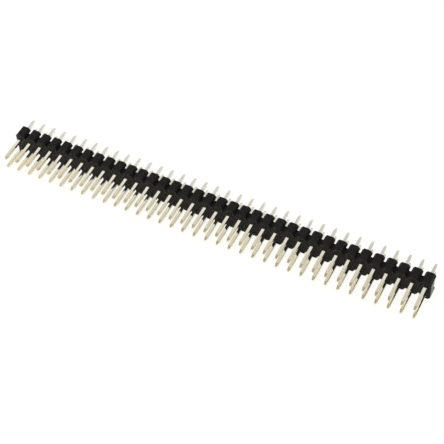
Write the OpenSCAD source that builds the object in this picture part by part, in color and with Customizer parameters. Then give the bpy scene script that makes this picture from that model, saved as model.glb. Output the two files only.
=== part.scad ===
// Double-row breakaway pin header strip: one moulded insulator that holds two rows of
// square posts. It lies on one long side, with the strip along X and the posts along Y.
// The long mating posts point to -Y and the short solder tails to +Y. All sizes are in
// millimetres. The origin is at the middle of the strip, on the surface that it lies on.

/* [Strip] */
// Number of columns, each with one post in either row
columns = 36; // [2:1:40]
// Distance between neighbouring columns
pitch = 2.54; // [2.4:0.01:4]
// Distance between the two rows of posts
row_pitch = 2.54; // [2:0.01:5.08]

/* [Insulator] */
// Distance from the middle of a row to the long side next to it
side_margin = 1.25; // [1.1:0.01:2]
// Height of the insulator along the posts, from the mating face to the board
body_height = 2.54; // [2:0.01:8.5]
// Width of the gap between two cells at a break notch
notch_gap = 0.44; // [0.2:0.01:0.7]
// Depth of a break notch below the long side
notch_depth = 0.85; // [0.4:0.01:1.1]
// Length of a cell's corner chamfer along the strip
chamfer_length = 0.4; // [0.2:0.01:0.65]
// Depth of a cell's corner chamfer below the long side
chamfer_depth = 0.55; // [0.2:0.01:0.8]

/* [Board side] */
// Height of the stand-off feet, which is the depth of the wash channel between them
foot_height = 0.75; // [0.3:0.01:1.4]
// Gap between a foot and the post beside it
foot_clearance = 0.08; // [0.02:0.01:0.2]

/* [Posts] */
// Side of the square post
post_size = 0.64; // [0.5:0.01:0.7]
// Length of a mating post in front of the mating face
mating_length = 5.93; // [4:0.01:12]
// Length of a solder tail beyond the board side of the feet
tail_length = 2.95; // [2:0.01:5]
// Length of the tapered tip at either end of a post
tip_length = 0.8; // [0.3:0.01:1.6]
// Side of the small flat at the end of a tip
tip_size = 0.36; // [0.15:0.01:0.45]
// Gap between a post and each wall of its hole
post_clearance = 0.01; // [0.005:0.005:0.03]

/* [Hidden] */
// Overall sizes
overall_length = mating_length + body_height + tail_length;
body_width = row_pitch + 2 * side_margin;
cell_length = pitch - notch_gap;
strip_length = (columns - 1) * pitch + cell_length;

// Planes across the posts, from the mating tips to the tips of the tails
mating_tip_y = -overall_length / 2;
mating_face_y = mating_tip_y + mating_length;
board_y = mating_face_y + body_height;
channel_y = board_y - foot_height;
tail_tip_y = board_y + tail_length;

// Half of the space between the two lines of feet
channel_half = row_pitch / 2 + post_size / 2 + foot_clearance;

function column_x(column) = (column - (columns + 1) / 2) * pitch;
function pair_name(column) = str("pin_pair_", column < 10 ? "0" : "", column);

// Raises the flat shape inside it from one plane across the posts to another
module between(from_y, to_y) {
    translate([0, to_y, body_width / 2])
        rotate([90, 0, 0])
            linear_extrude(to_y - from_y)
                children();
}

// Places a copy of the shape inside it at each column
module each_column() {
    for (column = [1 : columns])
        translate([column_x(column), 0])
            children();
}

// One cell across the posts: an oblong with chamfered corners
module cell_outline() {
    half_length = cell_length / 2;
    half_width = body_width / 2;
    flat_half = half_length - chamfer_length;
    shoulder = half_width - chamfer_depth;
    polygon([
        [-flat_half, -half_width], [flat_half, -half_width],
        [half_length, -shoulder], [half_length, shoulder],
        [flat_half, half_width], [-flat_half, half_width],
        [-half_length, shoulder], [-half_length, -shoulder]
    ]);
}

// The plate that holds the posts: the cells, the web that joins them, and the square holes
module plate_outline() {
    difference() {
        union() {
            each_column() cell_outline();
            square([strip_length, body_width - 2 * notch_depth], center = true);
        }
        each_column()
            for (side = [-1, 1])
                translate([0, side * row_pitch / 2])
                    square(post_size + 2 * post_clearance, center = true);
    }
}

// A cell's two feet, outside both rows, with the wash channel between them
module feet_outline() {
    difference() {
        cell_outline();
        square([2 * cell_length, 2 * channel_half], center = true);
    }
}

// The long outline of a post, tapered at both ends
module post_outline() {
    half = post_size / 2;
    tip_half = tip_size / 2;
    polygon([
        [-tip_half, mating_tip_y], [tip_half, mating_tip_y],
        [half, mating_tip_y + tip_length], [half, tail_tip_y - tip_length],
        [tip_half, tail_tip_y], [-tip_half, tail_tip_y],
        [-half, tail_tip_y - tip_length], [-half, mating_tip_y + tip_length]
    ]);
}

// One square post with all four sides tapered to each tip
module post() {
    intersection() {
        linear_extrude(post_size, center = true)
            post_outline();
        rotate([0, 90, 0])
            linear_extrude(post_size, center = true)
                post_outline();
    }
}

// The moulded insulator: a holed plate with stand-off feet on its board side
module insulator() {
    color("#1d1d1f") {
        between(mating_face_y, channel_y)
            plate_outline();
        between(channel_y, board_y)
            each_column() feet_outline();
    }
}

// The two posts of one column
module pin_pair(column) {
    color("#cdbd92")
        for (side = [-1, 1])
            translate([column_x(column), 0, body_width / 2 + side * row_pitch / 2])
                post();
}

insulator();
for (column = [1 : columns])
    pin_pair(column);
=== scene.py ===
import math
import random

import bmesh
import bpy
from mathutils import Matrix, Vector


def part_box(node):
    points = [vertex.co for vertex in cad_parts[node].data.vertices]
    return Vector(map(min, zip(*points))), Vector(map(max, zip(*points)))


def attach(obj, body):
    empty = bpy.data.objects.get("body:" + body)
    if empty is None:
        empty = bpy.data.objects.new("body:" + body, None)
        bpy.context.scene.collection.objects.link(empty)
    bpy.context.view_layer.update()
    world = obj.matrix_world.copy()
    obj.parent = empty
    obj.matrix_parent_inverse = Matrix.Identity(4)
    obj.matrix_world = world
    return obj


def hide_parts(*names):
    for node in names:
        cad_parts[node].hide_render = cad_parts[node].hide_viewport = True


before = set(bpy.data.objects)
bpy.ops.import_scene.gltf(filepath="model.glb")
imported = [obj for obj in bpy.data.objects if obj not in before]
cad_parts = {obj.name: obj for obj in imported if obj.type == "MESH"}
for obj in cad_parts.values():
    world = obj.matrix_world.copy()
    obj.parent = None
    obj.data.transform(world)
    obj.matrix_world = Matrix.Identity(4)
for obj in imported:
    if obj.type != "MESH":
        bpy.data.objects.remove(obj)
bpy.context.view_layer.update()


# ------------------------------------------------------------------ insulator
# The insulator is one injection moulding of black glass-filled thermoplastic. Deep break
# notches divide it into cells, so that it can be snapped to length, and feet on its board
# side stand it off the board with a wash channel between them.

MM = 0.001
NOTCH_GAP = 0.44 * MM          # between two cells
NOTCH_DEPTH = 0.85 * MM        # below the long side
CHAMFER_LENGTH = 0.4 * MM      # a cell's corner chamfer, along the strip
CHAMFER_DEPTH = 0.55 * MM      # the same chamfer, across the strip
FOOT_HEIGHT = 0.75 * MM        # depth of the wash channel
FOOT_CLEARANCE = 0.08 * MM     # between a foot and the post beside it
HOLE_CLEARANCE = 0.01 * MM     # between a post and its hole
CORNER_RADIUS = 0.05 * MM      # of the moulding's outer edges
INNER_SHARE = 0.35             # of that radius, in inner corners and at the hole mouths
SHARP = math.radians(8)        # an edge that turns by more than this is rounded
ROUNDING_STEPS = 3             # faces across a rounded edge
TINY = 0.0005 * MM             # corners closer than this are one

DARK_PLASTIC = (0.0102, 0.0093, 0.0077, 1)
PALE_PLASTIC = (0.0158, 0.0148, 0.0125, 1)
GLASS_SPECK = (0.03, 0.03, 0.03, 1)
RUBBED_PLASTIC = (0.04, 0.04, 0.041, 1)

insulator_low, insulator_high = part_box("insulator")
first_low, first_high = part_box("pin_pair_01")
second_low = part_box("pin_pair_02")[0]
COLUMNS = sum(name.startswith("pin_pair_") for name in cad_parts)
PITCH = second_low.x - first_low.x
POST_SIZE = first_high.x - first_low.x
ROW_HALF = (first_high.z - first_low.z - POST_SIZE) / 2
MIDDLE_Z = (insulator_low.z + insulator_high.z) / 2

# Planes across the posts: the mating face, the wash channel's floor and the board side
mating_y = insulator_low.y
channel_y = insulator_high.y - FOOT_HEIGHT
board_y = insulator_high.y

# Half of a square hole, and distances from a cell's middle along the strip
hole_half = POST_SIZE / 2 + HOLE_CLEARANCE
cell_half = (PITCH - NOTCH_GAP) / 2
flat_half = cell_half - CHAMFER_LENGTH

# Distances from a cell's middle across the strip
long_side = (insulator_high.z - insulator_low.z) / 2
shoulder = long_side - CHAMFER_DEPTH
web_half = long_side - NOTCH_DEPTH
channel_half = ROW_HALF + POST_SIZE / 2 + FOOT_CLEARANCE


# The moulding is laid out flat, as seen along the posts, as a grid of fields that leaves the
# holes out. All the fields are then raised from the mating face to the channel's floor, and
# the feet's fields on to the board side.

def column_x(column):
    """Where a column's middle is along the strip, with the columns counted from 0."""
    return (column - (COLUMNS - 1) / 2) * PITCH


def lines(*distances):
    """Grid lines at these distances on both sides of the middle, each of them once."""
    every = sorted([-d for d in distances] + list(distances))
    return [d for d, before in zip(every, [-math.inf] + every) if d - before > TINY]


def fields(x_lines, z_lines):
    """The oblong fields between grid lines, each a list of four corners."""
    for z0, z1 in zip(z_lines, z_lines[1:]):
        for x0, x1 in zip(x_lines, x_lines[1:]):
            yield [(x0, z0), (x1, z0), (x1, z1), (x0, z1)]


def in_hole(corners):
    """True if a field of a cell lies in one of its two holes."""
    x = sum(c[0] for c in corners) / 4
    z = sum(c[1] for c in corners) / 4
    return abs(x) < hole_half and abs(abs(z) - ROW_HALF) < hole_half


def plate_fields():
    """All the flat fields of the plate across the posts, and those of them that carry feet."""
    hole_lines = (ROW_HALF - hole_half, ROW_HALF + hole_half)
    cell_x = lines(hole_half, flat_half, cell_half)
    cell_z = lines(*hole_lines, channel_half, web_half, shoulder, long_side)
    web_z = [z for z in lines(*hole_lines, channel_half, web_half) if abs(z) < web_half + TINY]
    plate = []
    feet = []
    for column in range(COLUMNS):
        middle = column_x(column)
        for corners in fields(cell_x, cell_z):
            if in_hole(corners):
                continue
            # A field at a cell's corner loses its outer point, which leaves the chamfer.
            corners = [c for c in corners
                       if abs(c[0]) < flat_half + TINY or abs(c[1]) < shoulder + TINY]
            placed = [(x + middle, z) for x, z in corners]
            plate.append(placed)
            if min(abs(z) for _, z in corners) > channel_half - TINY:
                feet.append(placed)
        if column < COLUMNS - 1:
            web_x = [middle + cell_half, middle + PITCH - cell_half]
            plate.extend(fields(web_x, web_z))
    return plate, feet


def grid_key(corners):
    """The same for two lists of the same corners, in whichever order they are."""
    return frozenset((round(x / TINY), round(z / TINY)) for x, z in corners)


def raise_fields(bm, plate, feet, levels):
    """A closed shell: the plate between the first two levels, and the feet up to the third."""
    made = {}

    def vertex(corner, level):
        key = (grid_key([corner]), level)
        if key not in made:
            made[key] = bm.verts.new((corner[0], levels[level], corner[1] + MIDDLE_Z))
        return made[key]

    footed = {grid_key(field) for field in feet}
    for field in plate:
        bm.faces.new([vertex(c, 0) for c in field])
        top = 2 if grid_key(field) in footed else 1
        bm.faces.new([vertex(c, top) for c in reversed(field)])
    for shape, low, high in ((plate, 0, 1), (feet, 1, 2)):
        edges = {}
        for field in shape:
            for edge in zip(field, field[1:] + field[:1]):
                edges.setdefault(grid_key(edge), []).append(edge)
        for sharing in edges.values():
            # An edge that only one field has is on the outline, and gets a wall.
            if len(sharing) == 1:
                a, b = sharing[0]
                bm.faces.new([vertex(a, low), vertex(a, high), vertex(b, high), vertex(b, low)])
    bmesh.ops.recalc_face_normals(bm, faces=bm.faces)


def rounded_piece(bm, name, radius, share_of):
    """Makes a piece from bm, with each sharp edge rounded to its share of the radius.
    Its vertices get the attribute edge, which is 1 on the rounded edges and 0 on flats."""
    weights = bm.edges.layers.float.new("bevel_weight_edge")
    for edge in bm.edges:
        if edge.calc_face_angle(0) > SHARP:
            edge[weights] = share_of(edge)
    mesh = bpy.data.meshes.new(name)
    bm.to_mesh(mesh)
    bm.free()
    mesh.shade_smooth()
    # Two empty slots for a moment: the flats stay in slot 0, and the rounded edges go in 1.
    mesh.materials.append(None)
    mesh.materials.append(None)
    rough = bpy.data.objects.new(name + "_rough", mesh)
    bpy.context.scene.collection.objects.link(rough)
    bevel = rough.modifiers.new("round", "BEVEL")
    bevel.limit_method = "WEIGHT"
    bevel.width = radius
    bevel.segments = ROUNDING_STEPS
    bevel.material = 1
    bevel.use_clamp_overlap = False
    bevel.harden_normals = True
    graph = bpy.context.evaluated_depsgraph_get()
    done = bpy.data.meshes.new_from_object(rough.evaluated_get(graph), depsgraph=graph)
    done.name = name
    bpy.data.objects.remove(rough)
    bpy.data.meshes.remove(mesh)
    values = [1.0] * len(done.vertices)
    for face in done.polygons:
        if face.material_index == 0:
            for v in face.vertices:
                values[v] = 0.0
        face.material_index = 0
    done.materials.clear()
    rounding = done.attributes.new("edge", "FLOAT", "POINT")
    rounding.data.foreach_set("value", values)
    piece = bpy.data.objects.new(name, done)
    bpy.context.scene.collection.objects.link(piece)
    return piece


def moulding_edge(edge):
    """Full rounding outside, and only a trace in inner corners and at the hole mouths."""
    if not edge.is_convex:
        return INNER_SHARE
    middle = (edge.verts[0].co + edge.verts[1].co) / 2
    # How far that is from the middle of the nearest hole, across the strip and along it
    off_row = abs(abs(middle.z - MIDDLE_Z) - ROW_HALF)
    off_column = abs((middle.x / PITCH + COLUMNS / 2) % 1 - 0.5) * PITCH
    if off_row < hole_half + TINY and off_column < hole_half + TINY:
        return INNER_SHARE
    return 1.0


moulding = bmesh.new()
raise_fields(moulding, *plate_fields(), (mating_y, channel_y, board_y))
insulator = rounded_piece(moulding, "insulator_moulding", CORNER_RADIUS, moulding_edge)


class Wiring:
    """Adds nodes to a material, a group or the world, and joins them."""

    def __init__(self, tree):
        self.tree = tree
        self.tree.nodes.clear()

    def add(self, kind, inputs=(), **settings):
        """Adds a node. Each of its inputs is a plain value or the socket that it comes from."""
        node = self.tree.nodes.new(kind)
        for name, value in settings.items():
            setattr(node, name, value)
        for socket, value in dict(inputs).items():
            self.feed(node.inputs[socket], value)
        return node

    def feed(self, socket, value):
        if isinstance(value, bpy.types.NodeSocket):
            self.tree.links.new(value, socket)
        else:
            socket.default_value = value

    def math(self, operation, a, b):
        node = self.add("ShaderNodeMath", {0: a, 1: b}, operation=operation)
        return node.outputs[0]

    def spread(self, value, low, high, to_low=0.0, to_high=1.0):
        """Goes from to_low to to_high while the value goes from low to high, and no further."""
        node = self.add("ShaderNodeMapRange", {0: value, 1: low, 2: high, 3: to_low, 4: to_high})
        return node.outputs[0]

    def blend(self, share, first, second):
        """The first colour where the share is 0, and the second where it is 1."""
        node = self.add("ShaderNodeMix", {0: share, 6: first, 7: second}, data_type="RGBA")
        return node.outputs[2]

    def tint(self, colour, mask, most, second):
        """The colour, with at most this share of the second one where the mask is 1."""
        return self.blend(self.math("MULTIPLY", mask, most), colour, second)

    def effect(self, group, **inputs):
        """What an effect's node group gives for these inputs."""
        return self.add("ShaderNodeGroup", inputs, node_tree=group).outputs[0]


def effect_group(name, inputs, output):
    """An empty node group with these sockets. Returns its wiring, inputs and output."""
    tree = bpy.data.node_groups.new(name, "ShaderNodeTree")
    for socket, value in inputs.items():
        made = tree.interface.new_socket(socket, in_out="INPUT", socket_type="NodeSocketFloat")
        made.default_value = value
    tree.interface.new_socket(output, in_out="OUTPUT", socket_type="NodeSocketFloat")
    wiring = Wiring(tree)
    entry = wiring.add("NodeGroupInput")
    leave = wiring.add("NodeGroupOutput")
    return wiring, entry.outputs, leave.inputs[output]


def mottle_group():
    """Soft uneven patches with a finer grain in them, drawn out along Y by Stretch."""
    wiring, entry, leave = effect_group(
        "mottle", {"Scale": 1000.0, "Stretch": 1.0, "Detail": 3.0, "Contrast": 1.0}, "Value")
    place = wiring.add("ShaderNodeTexCoord").outputs["Object"]
    parts = wiring.add("ShaderNodeSeparateXYZ", {0: place}).outputs
    along = wiring.math("DIVIDE", parts[1], entry["Stretch"])
    drawn = wiring.add("ShaderNodeCombineXYZ", {0: parts[0], 1: along, 2: parts[2]}).outputs[0]
    noise = wiring.add("ShaderNodeTexNoise", {
        "Vector": drawn, "Scale": entry["Scale"], "Detail": entry["Detail"], "Roughness": 0.6,
    }).outputs[0]
    centred = wiring.math("SUBTRACT", noise, 0.5)
    spread = wiring.math("MULTIPLY", centred, entry["Contrast"])
    lifted = wiring.add("ShaderNodeMath", {0: spread, 1: 0.5}, operation="ADD", use_clamp=True)
    wiring.feed(leave, lifted.outputs[0])
    return wiring.tree


def worn_edge_group():
    """A broken line of wear along the rounded edges."""
    wiring, entry, leave = effect_group("worn_edge", {"Amount": 0.5, "Scale": 2500.0}, "Mask")
    edge = wiring.add("ShaderNodeAttribute", attribute_name="edge").outputs["Fac"]
    noise = wiring.add("ShaderNodeTexNoise", {
        "Vector": wiring.add("ShaderNodeTexCoord").outputs["Object"],
        "Scale": entry["Scale"], "Detail": 2.0,
    }).outputs[0]
    broken = wiring.spread(noise, 0.4, 0.65)
    rubbed = wiring.math("MULTIPLY", wiring.math("MULTIPLY", edge, broken), entry["Amount"])
    wiring.feed(leave, rubbed)
    return wiring.tree


MOTTLE = mottle_group()
WORN_EDGE = worn_edge_group()


def new_material(name):
    """A material without nodes, and the wiring to give it some."""
    material = bpy.data.materials.new(name)
    material.use_nodes = True
    return material, Wiring(material.node_tree)


def black_moulded_plastic():
    """Satin black plastic: spark-eroded grain, glass specks, greyer where edges are rubbed."""
    material, wiring = new_material("black_moulded_plastic")
    patches = wiring.effect(MOTTLE, Scale=350.0, Detail=4.0, Contrast=1.6)
    grain = wiring.effect(MOTTLE, Scale=9000.0, Detail=2.0, Contrast=1.5)
    specks = wiring.effect(MOTTLE, Scale=5200.0, Stretch=2.5, Detail=1.0, Contrast=1.4)
    worn = wiring.effect(WORN_EDGE, Amount=0.5, Scale=1800.0)
    colour = wiring.blend(patches, DARK_PLASTIC, PALE_PLASTIC)
    # Only the highest points of the specks' pattern are glass.
    glass = wiring.spread(specks, 0.72, 0.86)
    colour = wiring.tint(colour, glass, 0.5, GLASS_SPECK)
    colour = wiring.blend(worn, colour, RUBBED_PLASTIC)
    roughness = wiring.spread(patches, 0.0, 1.0, 0.22, 0.34)
    roughness = wiring.math("ADD", roughness, wiring.math("MULTIPLY", worn, 0.12))
    bump = wiring.add("ShaderNodeBump", {"Strength": 0.35, "Distance": 0.012 * MM, "Height": grain})
    surface = wiring.add("ShaderNodeBsdfPrincipled", {
        "Base Color": colour, "Roughness": roughness, "Normal": bump.outputs[0],
        "Specular IOR Level": 0.06,
    })
    wiring.add("ShaderNodeOutputMaterial", {"Surface": surface.outputs[0]})
    return material


insulator.data.materials.append(black_moulded_plastic())
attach(insulator, "root")
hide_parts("insulator")


# ---------------------------------------------------------------------- posts
# Each post is a length of drawn square brass wire, coined to a taper at both ends and pressed
# through the insulator from the board side. Its mating side has a bright pale gold flash, which
# pales next to the insulator and carries a painted highlight there, with painted shade on the
# coined tips, and its tail is satin tin.

TIP_LENGTH = 0.8 * MM          # of the coined taper at either end
TIP_SIZE = 0.36 * MM           # side of the flat at its end
WIRE_RADIUS = 0.06 * MM        # of the wire's long edges
END_SHARE = 0.6                # of that radius, around the flats at the ends
LEAN = math.radians(0.25)      # the most that a post leans, up or down and to either side
TWIST = math.radians(1.0)      # the most that it is turned in its hole
SEED = 11                      # of these small differences
PALE_HIGHLIGHT_FROM = 2.8 * MM          # from the mating tip to where the flash begins to pale, under a painted highlight
PALE_HIGHLIGHT_TO = 4.6 * MM            # from the mating tip to where it is palest, and the painted highlight strongest
TIN_EDGE = 0.1 * MM            # half of the stretch in which the flash gives way to tin

DEEP_GOLD = (0.67, 0.61, 0.435, 1)
LIGHT_GOLD = (0.72, 0.67, 0.505, 1)
# the flash's paler tone next to the insulator, lightened as a painted highlight
PALE_GOLD_AND_HIGHLIGHT = (0.79, 0.775, 0.67, 1)
# painted shade on the coined mating tips
SHADED_TIP_GOLD = (0.50, 0.44, 0.30, 1)
RUBBED_GOLD = (0.74, 0.64, 0.43, 1)
DEEP_TIN = (0.66, 0.65, 0.565, 1)
LIGHT_TIN = (0.73, 0.72, 0.64, 1)

post_low_y = first_low.y
post_high_y = first_high.y
hole_y = (mating_y + channel_y) / 2


def post_shell():
    """One post about the origin, along Y: a square ring at each end of each taper."""
    bm = bmesh.new()
    stations = [(post_low_y, TIP_SIZE), (post_low_y + TIP_LENGTH, POST_SIZE),
                (post_high_y - TIP_LENGTH, POST_SIZE), (post_high_y, TIP_SIZE)]
    turns = [(-1, -1), (1, -1), (1, 1), (-1, 1)]
    rings = []
    for y, size in stations:
        rings.append([bm.verts.new((a * size / 2, y, b * size / 2)) for a, b in turns])
    for ring, following in zip(rings, rings[1:]):
        for n in range(4):
            m = (n + 1) % 4
            bm.faces.new([ring[n], ring[m], following[m], following[n]])
    bm.faces.new(rings[0])
    bm.faces.new(rings[-1])
    bmesh.ops.recalc_face_normals(bm, faces=bm.faces)
    return bm


def wire_edge(edge):
    """Full rounding on the long edges and the tapers, and a little less at the end flats."""
    end_gaps = [abs(v.co.y - y) for v in edge.verts for y in (post_low_y, post_high_y)]
    return END_SHARE if min(end_gaps) < TINY else 1.0


def plated_brass():
    """Pale gold flash in front, paler and with a painted highlight next to the insulator, satin tin
    behind, drawing lines, and duller mating tips with painted shade.
    """
    material, wiring = new_material("plated_brass")
    drawn = wiring.effect(MOTTLE, Scale=14000.0, Stretch=60.0, Detail=2.0, Contrast=1.6)
    tone = wiring.effect(MOTTLE, Scale=700.0, Stretch=3.0, Detail=3.0, Contrast=1.8)
    worn = wiring.effect(WORN_EDGE, Amount=0.6, Scale=2500.0)
    place = wiring.add("ShaderNodeTexCoord").outputs["Object"]
    along = wiring.add("ShaderNodeSeparateXYZ", {0: place}).outputs[1]
    coined = wiring.spread(along, post_low_y + TIP_LENGTH, post_low_y + 0.4 * TIP_LENGTH)
    tinned = wiring.spread(along, hole_y - TIN_EDGE, hole_y + TIN_EDGE)
    pale_and_highlit = wiring.spread(along, post_low_y + PALE_HIGHLIGHT_FROM, post_low_y + PALE_HIGHLIGHT_TO)
    gold = wiring.blend(tone, DEEP_GOLD, LIGHT_GOLD)
    # The flash pales towards the insulator, and is lightened there as a painted highlight.
    gold = wiring.tint(gold, pale_and_highlit, 0.9, PALE_GOLD_AND_HIGHLIGHT)
    # Painted shade darkens the coined tip a little.
    gold = wiring.tint(gold, coined, 0.15, SHADED_TIP_GOLD)
    tin = wiring.blend(tone, DEEP_TIN, LIGHT_TIN)
    colour = wiring.blend(tinned, gold, tin)
    colour = wiring.tint(colour, worn, 0.4, RUBBED_GOLD)
    # A slightly uneven polish, which is duller on the coined tip and much duller on the tin
    roughness = wiring.spread(tone, 0.0, 1.0, 0.03, 0.07)
    roughness = wiring.math("ADD", roughness, wiring.math("MULTIPLY", coined, 0.12))
    roughness = wiring.math("ADD", roughness, wiring.math("MULTIPLY", tinned, 0.28))
    bump = wiring.add("ShaderNodeBump", {"Strength": 0.15, "Distance": 0.002 * MM, "Height": drawn})
    surface = wiring.add("ShaderNodeBsdfPrincipled", {
        "Base Color": colour, "Roughness": roughness, "Normal": bump.outputs[0],
        "Metallic": 1.0,
    })
    wiring.add("ShaderNodeOutputMaterial", {"Surface": surface.outputs[0]})
    return material


brass = plated_brass()
pattern = rounded_piece(post_shell(), "post_pattern", WIRE_RADIUS, wire_edge)
hole_middle = Vector((0, hole_y, 0))
chance = random.Random(SEED)
for column in range(COLUMNS):
    for row, z in (("lower", MIDDLE_Z - ROW_HALF), ("upper", MIDDLE_Z + ROW_HALF)):
        mesh = pattern.data.copy()
        lean = (Matrix.Rotation(chance.uniform(-LEAN, LEAN), 4, "X")
                @ Matrix.Rotation(chance.uniform(-LEAN, LEAN), 4, "Z")
                @ Matrix.Rotation(chance.uniform(-TWIST, TWIST), 4, "Y"))
        place = Matrix.Translation(Vector((column_x(column), 0, z)))
        mesh.transform(place @ Matrix.Translation(hole_middle) @ lean
                       @ Matrix.Translation(-hole_middle))
        mesh.materials.append(brass)
        post = bpy.data.objects.new(f"{row}_post_{column + 1:02d}", mesh)
        bpy.context.scene.collection.objects.link(post)
        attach(post, "root")
        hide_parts(f"pin_pair_{column + 1:02d}")
bpy.data.objects.remove(pattern)


# --------------------------------------------------------------- studio floor
# A wide sheet of white card under the strip. It shows as plain warm white, and keeps a soft
# shadow where the strip stands in the light's way. The bright posts mirror it a little
# brighter than it is.

FLOOR_SIDE = 1.2                           # metres
PAPER = (0.8, 0.8, 0.8, 1)                 # the card, for the light that it passes on
MIRRORED_PAPER = (1.25, 1.25, 1.25, 1)     # the card, as a mirror shows it
SHADOW_PAPER = (0.085, 0.095, 0.15, 1)     # the part of its white that a shadow takes away
WARM_WHITE = (1, 0.985, 0.93, 1)           # its own glow, which is the rest of its white
SEEN_GLOW = 0.94                           # the glow's strength to the camera
MIRRORED_GLOW = 0.3                        # and to a mirror

card = bmesh.new()
bmesh.ops.create_grid(card, x_segments=1, y_segments=1, size=FLOOR_SIDE / 2)
floor_mesh = bpy.data.meshes.new("floor_card")
card.to_mesh(floor_mesh)
card.free()
floor = bpy.data.objects.new("floor_card", floor_mesh)
bpy.context.scene.collection.objects.link(floor)


def mirror_ray(wiring, path):
    """1 for rays that show what a mirror or glass shows, and 0 for others."""
    return wiring.math("MAXIMUM", path["Is Glossy Ray"], path["Is Transmission Ray"])


card_white, wiring = new_material("white_card")
path = wiring.add("ShaderNodeLightPath").outputs
mirror = mirror_ray(wiring, path)
paper = wiring.blend(mirror, PAPER, MIRRORED_PAPER)
paper = wiring.blend(path["Is Camera Ray"], paper, SHADOW_PAPER)
seen_glow = wiring.math("MULTIPLY", path["Is Camera Ray"], SEEN_GLOW)
glow = wiring.math("ADD", seen_glow, wiring.math("MULTIPLY", mirror, MIRRORED_GLOW))
matt = wiring.add("ShaderNodeBsdfDiffuse", {"Color": paper})
lit = wiring.add("ShaderNodeEmission", {"Color": WARM_WHITE, "Strength": glow})
card_surface = wiring.add("ShaderNodeAddShader", {0: matt.outputs[0], 1: lit.outputs[0]})
wiring.add("ShaderNodeOutputMaterial", {"Surface": card_surface.outputs[0]})
floor_mesh.materials.append(card_white)


# --------------------------------------------------------------- studio light
# A long softbox behind the strip, a square one in front, and a white room. The bright posts
# show the room's white walls, its grey ceiling, and a darker beam across the ceiling.

ROOM_LEVEL = 0.9               # light from the room on matt surfaces
CEILING_LEVEL = 0.6            # how the ceiling shows in mirrors, where the walls are 1
BEAM_SHADE = 0.11              # how much darker the beam is than the ceiling

# Where they are, as the height of the direction they are seen in: 0 is level, 1 straight up
CEILING_EDGE = (0.42, 0.6)
BEAM_LOW_EDGE = (0.73, 0.81)
BEAM_HIGH_EDGE = (0.84, 0.9)


def softbox(name, place, width, height, watts):
    """An oblong lamp that points at the middle of the strip. Its sizes are in metres."""
    lamp = bpy.data.lights.new(name, "AREA")
    lamp.shape = "RECTANGLE"
    lamp.size = width
    lamp.size_y = height
    lamp.energy = watts
    box = bpy.data.objects.new(name, lamp)
    box.location = place
    box.rotation_euler = (-Vector(place)).to_track_quat("-Z", "Y").to_euler()
    bpy.context.scene.collection.objects.link(box)


softbox("softbox_behind", (-0.24, 0.29, 0.43), width=0.5, height=0.3, watts=0.21)
softbox("softbox_front", (-0.25, -0.45, 0.35), width=0.5, height=0.5, watts=0.6)

room = bpy.data.worlds.new("white_room")
room.use_nodes = True
bpy.context.scene.world = room
wiring = Wiring(room.node_tree)
direction = wiring.add("ShaderNodeTexCoord").outputs["Generated"]
height = wiring.add("ShaderNodeSeparateXYZ", {0: direction}).outputs[2]
mirrored = wiring.spread(height, *CEILING_EDGE, 1.0, CEILING_LEVEL)
beam = wiring.math("MULTIPLY", wiring.spread(height, *BEAM_LOW_EDGE, 0.0, BEAM_SHADE),
                   wiring.spread(height, *BEAM_HIGH_EDGE, 1.0, 0.0))
mirrored = wiring.math("SUBTRACT", mirrored, beam)
path = wiring.add("ShaderNodeLightPath").outputs
level = wiring.spread(mirror_ray(wiring, path), 0.0, 1.0, ROOM_LEVEL, mirrored)
# What the camera sees beyond the floor is plain white.
level = wiring.spread(path["Is Camera Ray"], 0.0, 1.0, level, 1.0)
sky = wiring.add("ShaderNodeBackground", {"Color": (1, 1, 1, 1), "Strength": level})
wiring.add("ShaderNodeOutputWorld", {"Surface": sky.outputs[0]})
bpy.context.scene.view_settings.view_transform = "Standard"


# --------------------------------------------------------------------- camera
# A long lens that looks down on the strip from the mating side, over its right-hand end,
# with the strip running from the upper left to the lower right of the frame.

AZIMUTH = math.radians(30.37)  # to the right of straight in front
ELEVATION = math.radians(51.85)
ROLL = math.radians(-4.65)
DISTANCE = 0.24565             # metres from AIM, the point that it looks at
AIM = Vector((2.80 * MM, -1.08 * MM, MIDDLE_Z))
FOCAL_LENGTH = 101.99          # on a sensor 36 wide

lens = bpy.data.cameras.new("camera")
lens.sensor_width = 36
lens.lens = FOCAL_LENGTH
lens.clip_start = 0.01
camera = bpy.data.objects.new("camera", lens)
outward = Vector((math.sin(AZIMUTH) * math.cos(ELEVATION),
                  -math.cos(AZIMUTH) * math.cos(ELEVATION), math.sin(ELEVATION)))
aimed = outward.to_track_quat("Z", "Y").to_matrix().to_4x4() @ Matrix.Rotation(ROLL, 4, "Z")
camera.matrix_world = Matrix.Translation(AIM + DISTANCE * outward) @ aimed
bpy.context.scene.collection.objects.link(camera)
bpy.context.scene.camera = camera
